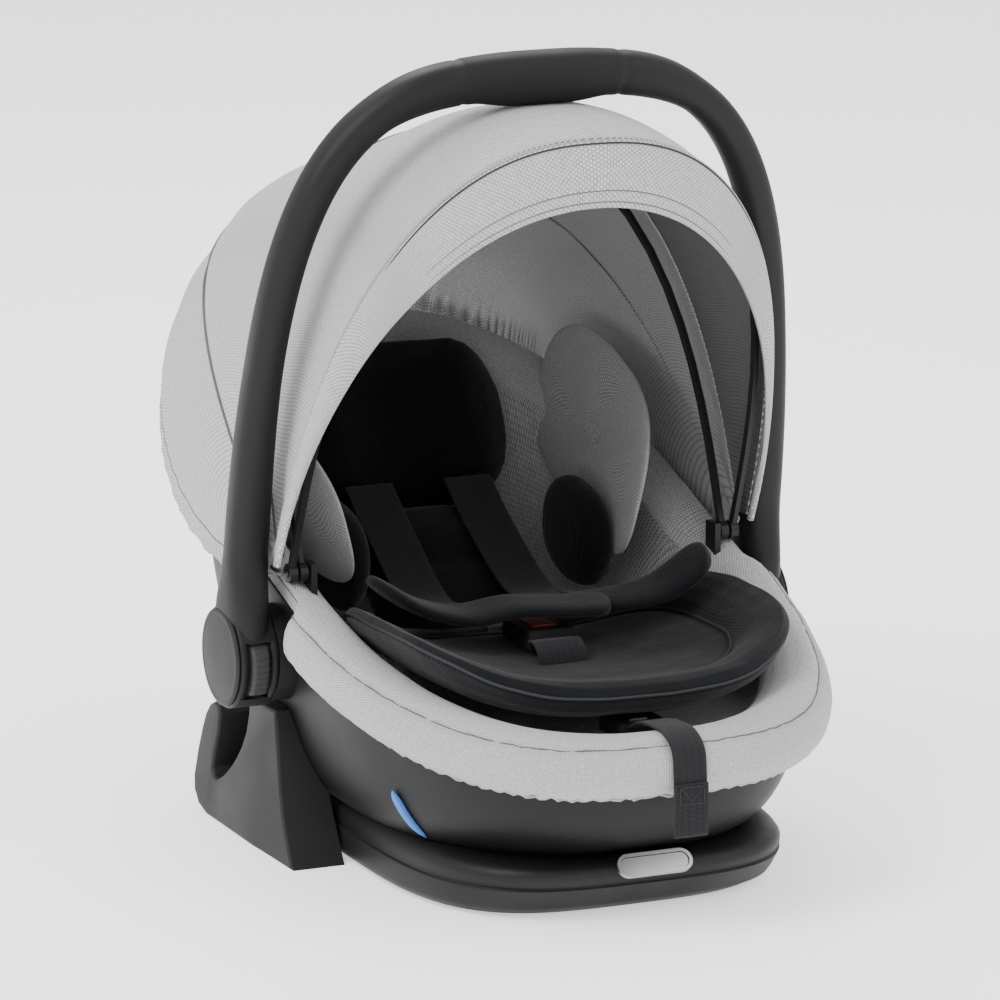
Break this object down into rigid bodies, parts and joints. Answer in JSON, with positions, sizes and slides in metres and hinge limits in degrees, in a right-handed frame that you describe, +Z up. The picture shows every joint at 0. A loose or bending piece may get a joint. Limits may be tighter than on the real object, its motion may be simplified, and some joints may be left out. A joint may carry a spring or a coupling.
{
  "type": "infant car seat",
  "caption": "Infant car seat: padded bucket shell on a foot plate, with a swinging carry handle, a folding fabric canopy and a harness.",
  "frame": {"origin": "point on the floor, midway between the sides, straight below the handle's pivot axis", "axes": "+Z up, +Y towards the head end, +X towards the seat's own left when seen from the leg end on the right-hand side of the view; the handle pivots about X"},
  "size_m": [0.44, 0.6632, 0.581],
  "materials": {
    "shell_plastic": "fine moulded grain",
    "grey_plastic": "fine moulded grain",
    "steel": "zinc plated",
    "foam": "expanded bead foam",
    "badge_silver": "satin",
    "guide_blue": "satin",
    "grip_rubber": "soft touch",
    "button_red": "satin",
    "light_fabric": "woven, light grey",
    "dark_fabric": "fine jersey, black",
    "webbing": "woven webbing, black"
  },
  "bodies": {
    "root": {"shell": "shell_plastic", "foam_liner": "foam", "seat_cover": "light_fabric", "base_plate": "shell_plastic", "badge_frame": "badge_silver", "badge_plate": "badge_silver", "side_foot_left": "grey_plastic", "side_foot_right": "grey_plastic", "foot_screw_left_front": "steel", "foot_screw_left_rear": "steel", "foot_screw_right_front": "steel", "foot_screw_right_rear": "steel", "belt_guide_left": "guide_blue", "belt_guide_right": "guide_blue", "lock_ring_left": "steel", "lock_ring_right": "steel", "pivot_bolt_left": "steel", "pivot_bolt_right": "steel", "canopy_rear_panel": "light_fabric", "canopy_bracket_left": "shell_plastic", "canopy_bracket_right": "shell_plastic", "leg_pad": "dark_fabric", "body_cushion": "dark_fabric", "head_cushion": "dark_fabric", "body_bolster_left": "dark_fabric", "body_bolster_right": "dark_fabric", "side_wing_left": "light_fabric", "side_wing_right": "light_fabric", "buckle_body": "grey_plastic", "crotch_strap": "webbing", "buckle_tongue_left": "steel", "buckle_tongue_right": "steel", "shoulder_pad_left": "dark_fabric", "shoulder_pad_right": "dark_fabric", "harness_strap_left": "webbing", "harness_strap_right": "webbing", "adjuster_housing": "grey_plastic", "adjuster_strap": "webbing", "harness_yoke": "steel"},
    "handle": {"handle_bow": "shell_plastic", "handle_grip": "grip_rubber", "hub_cap_left": "grey_plastic", "hub_cap_right": "grey_plastic", "lock_spring_left": "steel", "lock_spring_right": "steel"},
    "button_left": {"handle_button_left": "grey_plastic"},
    "button_right": {"handle_button_right": "grey_plastic"},
    "lock_left": {"lock_disc_left": "grey_plastic"},
    "lock_right": {"lock_disc_right": "grey_plastic"},
    "canopy_mid": {"canopy_mid_bow": "steel", "canopy_mid_panel": "light_fabric"},
    "canopy_front": {"canopy_front_bow": "steel", "canopy_front_panel": "light_fabric", "canopy_visor": "light_fabric"},
    "buckle_press": {"buckle_button": "button_red"},
    "adjuster_press": {"adjuster_button": "steel"},
    "back_lever": {"release_lever": "grey_plastic"}
  },
  "joints": [
    {"name": "handle_turn", "type": "hinge", "parent": "root", "child": "handle", "pos_m": [0, 0, 0.148], "axis": [-1, 0, 0], "range_deg": [0, 105]},
    {"name": "button_left_press", "type": "slide", "parent": "handle", "child": "button_left", "axis": [0, 0.9869, 0.1616], "range_m": [0, 0.0045], "stiffness_N_per_m": 800},
    {"name": "button_right_press", "type": "slide", "parent": "handle", "child": "button_right", "axis": [0, 0.9869, 0.1616], "range_m": [0, 0.0045], "stiffness_N_per_m": 800},
    {"name": "lock_left_slide", "type": "slide", "parent": "handle", "child": "lock_left", "axis": [-1, 0, 0], "range_m": [0, 0.003], "stiffness_N_per_m": 400, "deforming": ["lock_spring_left"]},
    {"name": "lock_right_slide", "type": "slide", "parent": "handle", "child": "lock_right", "axis": [1, 0, 0], "range_m": [0, 0.003], "stiffness_N_per_m": 400, "deforming": ["lock_spring_right"]},
    {"name": "canopy_fold", "type": "hinge", "parent": "root", "child": "canopy_mid", "pos_m": [0, -0.027, 0.211], "axis": [-1, 0, 0], "range_deg": [0, 36], "deforming": ["canopy_mid_panel"]},
    {"name": "canopy_front_fold", "type": "hinge", "parent": "canopy_mid", "child": "canopy_front", "pos_m": [0, -0.027, 0.211], "axis": [-1, 0, 0], "range_deg": [0, 34], "deforming": ["canopy_front_panel", "canopy_visor"]},
    {"name": "buckle_press", "type": "slide", "parent": "root", "child": "buckle_press", "axis": [0, 0, -1], "range_m": [0, 0.003], "stiffness_N_per_m": 600},
    {"name": "adjuster_press", "type": "slide", "parent": "root", "child": "adjuster_press", "axis": [0, 0, -1], "range_m": [0, 0.002], "stiffness_N_per_m": 600},
    {"name": "back_lever_pull", "type": "hinge", "parent": "root", "child": "back_lever", "pos_m": [0, 0.3165, 0.2255], "axis": [1, 0, 0], "range_deg": [0, 18], "stiffness_Nm_per_rad": 0.4}
  ],
  "couplings": [
    {"joint": "lock_left_slide", "follows": "button_left_press", "ratio": 0.66666},
    {"joint": "lock_right_slide", "follows": "button_right_press", "ratio": 0.66666},
    {"joint": "canopy_front_fold", "follows": "canopy_fold", "ratio": 0.944}
  ]
}
